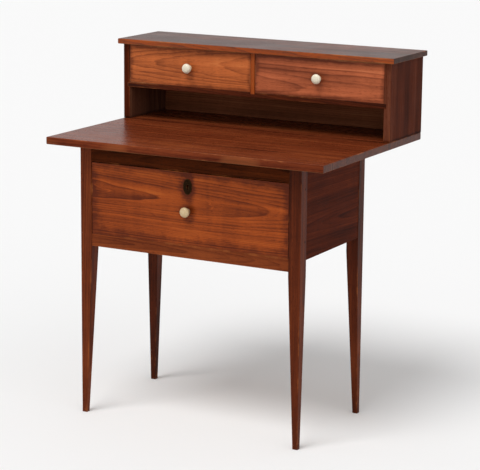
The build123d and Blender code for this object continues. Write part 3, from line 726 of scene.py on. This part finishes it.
def top_boards():
    """The desktop and the gallery that stands on it."""
    gallery_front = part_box("gallery_side_left")[0].y
    top_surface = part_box("desktop_front")[1].z
    boards = {}
    # The desktop's front edges are painted darker, as painted shade, and its end grain greyed as a
    # painted reflection.
    for end in ("front", "rear"):
        boards[f"desktop_{end}"] = Board(
            TOP_WOOD, "x", (0, 0, -1), rounded=True, dust_and_shade=((Y_AXIS, gallery_front, DESKTOP_DUST_AND_SHADE),),
            scratched=True, front_tone=-0.20, ends_painted_reflection=0.36)
    # The front edges of the gallery's sides carry painted light, the right side a painted sheen, and the
    # inner faces painted shade.
    for side, inward, wood in (("left", 1, PANEL_WOOD), ("right", -1, PANEL_WOOD_PAINTED_SHEEN)):
        boards[f"gallery_side_{side}"] = Board(
            wood, "z", (inward, 0, 0), SHADED_RAW_COLOURS, dust_and_shade=((Z_AXIS, top_surface, GALLERY_DUST_AND_SHADE),),
            front_tone=GALLERY_EDGE_PAINTED_LIGHT[side])
    # Its front edge is painted lighter, as a painted highlight.
    boards["gallery_top"] = Board(GALLERY_TOP_WOOD, "x", (0, 0, -1), rounded=True, front_tone=0.50)
    # The shelf is painted darker, as painted shade in the gallery's opening.
    boards["gallery_shelf"] = Board(FRAME_WOOD, "x", tone=-0.20, front_tone=-0.04)
    boards["gallery_back"] = Board(TOP_WOOD, "x", (0, -1, 0), INNER_COLOURS)
    boards["gallery_divider"] = Board(FRONT_WOOD, "z")
    boards["gallery_stops"] = Board(PINE, "x")
    return boards


def drawer_boards():
    """The main drawer and the two small ones: a varnished front each, and bare pine behind it."""
    boards = {}
    boards["drawer_front"] = Board(
        FRONT_WOOD, "x", (0, 1, 0), rounded=True, border=MAIN_BORDER,
        handled=(("drawer_knob", KNOB_GRIME), ("escutcheon", KEYHOLE_GRIME)))
    for side, wood in SMALL_FRONT_WOOD.items():
        drawer = side + "_small_drawer"
        boards[drawer + "_front"] = Board(
            wood, "x", (0, 1, 0), rounded=True, border=SMALL_BORDER,
            handled=((drawer + "_knob", SMALL_KNOB_GRIME),))
    for drawer in DRAWERS:
        for name in ("side_left", "side_right"):
            boards[f"{drawer}_{name}"] = Board(PINE, "y")
        for name in ("back", "bottom"):
            boards[f"{drawer}_{name}"] = Board(PINE, "x")
    return boards


def dress_boards():
    for node, board in (base_boards() | top_boards() | drawer_boards()).items():
        dress(node, wood_material(node, board))
        if board.rounded:
            join_poles(node)
        else:
            soften_edges(node, BOARD_ARRIS)


# Old turned bone. The foot's span says how far behind the knob's face its dirt begins and is darkest,
# and the cloud's span is where its roughness changes. A bump is the height of its relief, in metres.
BONE_COLOURS = (
    (0.0, srgb(112, 78, 44)),
    (0.35, srgb(186, 158, 116)),
    (0.7, srgb(212, 194, 156)),
    (1.0, srgb(236, 227, 204)),
)
BONE_CLOUD_SCALE = (110, 110, 110)
BONE_GRAIN_SCALE = (900, 160, 380)
BONE_FLECK_SCALE = (2600, 600, 1400)
BONE_FLECK_SPAN = (0.64, 0.72)
BONE_FOOT_SPAN = (0.010, 0.021)
BONE_CLOUD_TONE = 0.7
BONE_GRAIN_TONE = 0.35
BONE_FLECK_DEPTH = 0.14
BONE_FOOT_DEPTH = 0.55
BONE_CLOUD_SPAN = (0.3, 0.7)
BONE_ROUGHNESS = (0.22, 0.40)
BONE_SHIFT = 9
LATHE_SCALE = 2600.0
LATHE_BUMP = 0.00006
BONE_BUMP = 0.00008
BONE_BUMP_STRENGTH = 0.4

# Old thin brass. The rim's and the hole's spans are shares of the way from its middle to its outline,
# and the tone's span is where its roughness changes.
BRASS_COLOURS = ((0.0, srgb(20, 12, 7)), (0.5, srgb(58, 38, 19)), (1.0, srgb(150, 112, 58)))
BRASS_CLOUD_SCALE = (420, 420, 420)
BRASS_FINE_SCALE = (2400, 2400, 260)
BRASS_RIM_SPAN = (0.86, 0.98)
BRASS_HOLE_SPAN = (0.42, 0.18)
BRASS_TONE = 0.16
BRASS_CLOUD_TONE = 0.8
BRASS_FINE_TONE = 0.4
BRASS_RUBBED_TONE = 0.30
BRASS_TONE_SPAN = (0.1, 0.9)
BRASS_ROUGHNESS = (0.60, 0.28)
BRASS_BUMP = 0.00008
BRASS_BUMP_STRENGTH = 0.4

# Dark forged iron, and how much rougher and less metallic its rust is.
IRON_COLOURS = ((0.0, srgb(34, 30, 28)), (0.5, srgb(72, 66, 62)), (1.0, srgb(112, 106, 100)))
RUST_COLOUR = srgb(96, 52, 28)
IRON_CLOUD_SCALE = (300, 300, 300)
IRON_CLOUD_TONE = 1.6
RUST_SCALE = (180, 180, 180)
RUST_SPAN = (0.50, 0.64)
IRON_ROUGHNESS = 0.42
RUST_ROUGHER = 0.35
IRON_METALLIC = 0.9
RUST_LESS_METALLIC = 0.8
IRON_BUMP = 0.00012


def turned_place(shade, place, node):
    """How far a point is from a knob's own axis, and its place along that axis from the knob's face."""
    low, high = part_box(node)
    centre = Vector(((low.x + high.x) / 2, low.y, (low.z + high.z) / 2))
    offset = shade.vector("SUBTRACT", place, centre)
    return shade.vector("LENGTH", shade.scaled(offset, (1, 0, 1))), shade.parts(offset)[Y_AXIS]


def bone_material(node):
    """Old turned bone: creamy, with fine turning lines, brown flecks and a dirty foot."""
    material, shade, surface = new_material(node + "_bone")
    place = shade.object_place()
    shifted = shade.vector("ADD", place, (random.Random(node).uniform(0, BONE_SHIFT), 0, 0))
    spread, depth = turned_place(shade, place, node)
    cloud = shade.noise(shifted, BONE_CLOUD_SCALE, detail=3.0)
    grain = shade.noise(shifted, BONE_GRAIN_SCALE, detail=3.0, roughness=0.7)
    flecks = shade.span(shade.noise(shifted, BONE_FLECK_SCALE, detail=1.0), *BONE_FLECK_SPAN)
    foot = shade.span(depth, *BONE_FOOT_SPAN)
    # The knob's tone holds painted light: shade on the main knob, highlights on the small ones.
    tone = shade.sum(BONE_TONE_AND_LIGHT[node], [(cloud, BONE_CLOUD_TONE), (grain, BONE_GRAIN_TONE)])
    tone = shade.math("MULTIPLY_ADD", flecks, -BONE_FLECK_DEPTH, tone)
    tone = shade.math("MULTIPLY_ADD", foot, -BONE_FOOT_DEPTH, tone)
    shade.feed(surface.inputs["Base Color"], shade.ramp(tone, BONE_COLOURS))
    shade.feed(surface.inputs["Roughness"], shade.span(cloud, *BONE_CLOUD_SPAN, *BONE_ROUGHNESS))
    lathe = shade.line_noise(shade.math("MULTIPLY", spread, LATHE_SCALE))
    turning = shade.bump(lathe, LATHE_BUMP, BUMP_STRENGTH)
    shade.feed(surface.inputs["Normal"], shade.bump(grain, BONE_BUMP, BONE_BUMP_STRENGTH, turning))
    return material


def brass_material(node):
    """Old thin brass: dark brown patina, brighter where it is rubbed, at its rim and at the keyhole."""
    material, shade, surface = new_material(node + "_brass")
    place = shade.object_place()
    low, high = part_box("escutcheon")
    spread = ring_place(shade, place, low, high)
    cloud = shade.noise(place, BRASS_CLOUD_SCALE, detail=4.0, roughness=0.7)
    fine = shade.noise(place, BRASS_FINE_SCALE, detail=2.0)
    rim = shade.span(spread, *BRASS_RIM_SPAN)
    hole = shade.span(spread, *BRASS_HOLE_SPAN)
    tone = shade.sum(BRASS_TONE, [(cloud, BRASS_CLOUD_TONE), (fine, BRASS_FINE_TONE)])
    tone = shade.math("MULTIPLY_ADD", shade.math("MAXIMUM", rim, hole), BRASS_RUBBED_TONE, tone)
    shade.feed(surface.inputs["Base Color"], shade.ramp(tone, BRASS_COLOURS))
    shade.feed(surface.inputs["Roughness"], shade.span(tone, *BRASS_TONE_SPAN, *BRASS_ROUGHNESS))
    shade.feed(surface.inputs["Normal"], shade.bump(cloud, BRASS_BUMP, BRASS_BUMP_STRENGTH))
    surface.inputs["Metallic"].default_value = 1.0
    return material


def iron_material():
    """Dark forged iron with a bloom of rust."""
    material, shade, surface = new_material("iron")
    place = shade.object_place()
    cloud = shade.noise(place, IRON_CLOUD_SCALE, detail=4.0, roughness=0.65)
    rust = shade.span(shade.noise(place, RUST_SCALE, detail=4.0, roughness=0.7), *RUST_SPAN)
    bare = shade.ramp(shade.sum(0.5, [(cloud, IRON_CLOUD_TONE)]), IRON_COLOURS)
    rough = shade.math("MULTIPLY_ADD", rust, RUST_ROUGHER, IRON_ROUGHNESS)
    metallic = shade.math("SUBTRACT", IRON_METALLIC, shade.math("MULTIPLY", rust, RUST_LESS_METALLIC))
    shade.feed(surface.inputs["Base Color"], shade.mix(rust, bare, RUST_COLOUR))
    shade.feed(surface.inputs["Roughness"], rough)
    shade.feed(surface.inputs["Metallic"], metallic)
    shade.feed(surface.inputs["Normal"], shade.bump(cloud, IRON_BUMP, BUMP_STRENGTH))
    return material


def dress_fittings():
    for drawer in DRAWERS:
        dress(drawer + "_knob", bone_material(drawer + "_knob"))
        join_poles(drawer + "_knob")
    for node in ("escutcheon", "escutcheon_pins"):
        dress(node, brass_material(node))
    iron = iron_material()
    for node in IRON_NODES:
        dress(node, iron)


def add_sun(name, compass, height, strength, softness):
    data = bpy.data.lights.new(name, "SUN")
    data.energy = strength
    data.angle = math.radians(softness)
    sun = bpy.data.objects.new(name, data)
    bpy.context.scene.collection.objects.link(sun)
    turn, rise = math.radians(compass), math.radians(height)
    level = math.cos(rise)
    away = Vector((math.sin(turn) * level, -math.cos(turn) * level, math.sin(rise)))
    sun.rotation_mode = "QUATERNION"
    sun.rotation_quaternion = away.to_track_quat("Z", "Y")


def light_room():
    """A pale room all round: soft light on the desk, and one pale background for eye and gloss."""
    world = bpy.data.worlds.new("studio")
    bpy.context.scene.world = world
    world.use_nodes = True
    shade = Tree(world.node_tree)
    background = world.node_tree.nodes["Background"]
    path = shade.add("ShaderNodeLightPath").outputs
    seen = shade.math("MAXIMUM", path["Is Camera Ray"], path["Is Glossy Ray"])
    seen = shade.math("MAXIMUM", seen, path["Is Transmission Ray"])
    level = shade.span(seen, 0, 1, ROOM_LEVEL, BACKGROUND_LEVEL, smooth=False)
    background.inputs["Color"].default_value = WHITE
    shade.feed(background.inputs["Strength"], level)
    for name, values in SUNS.items():
        add_sun(name, *values)


def lay_floor():
    bpy.ops.mesh.primitive_circle_add(vertices=FLOOR_SIDES, radius=FLOOR_RADIUS, fill_type="NGON")
    floor = bpy.context.object
    floor.name = "floor"
    material = bpy.data.materials.new("floor")
    material.use_nodes = True
    nodes = material.node_tree.nodes
    nodes.clear()
    shade = Tree(material.node_tree)
    matt = shade.add("ShaderNodeBsdfDiffuse", {"Color": FLOOR_COLOUR})
    output = shade.add("ShaderNodeOutputMaterial")
    shade.feed(output.inputs["Surface"], matt.outputs[0])
    floor.data.materials.append(material)


def place_camera():
    data = bpy.data.cameras.new("camera")
    data.lens = CAMERA_LENS
    data.sensor_width = CAMERA_SENSOR
    camera = bpy.data.objects.new("camera", data)
    bpy.context.scene.collection.objects.link(camera)
    bpy.context.scene.camera = camera
    camera.location = CAMERA_PLACE
    camera.rotation_mode = "QUATERNION"
    level = (CAMERA_AIM - CAMERA_PLACE).to_track_quat("-Z", "Y")
    camera.rotation_quaternion = level @ Matrix.Rotation(CAMERA_ROLL, 3, "Z").to_quaternion()


dress_boards()
dress_fittings()
light_room()
lay_floor()
place_camera()
bpy.context.scene.view_settings.view_transform = "Standard"
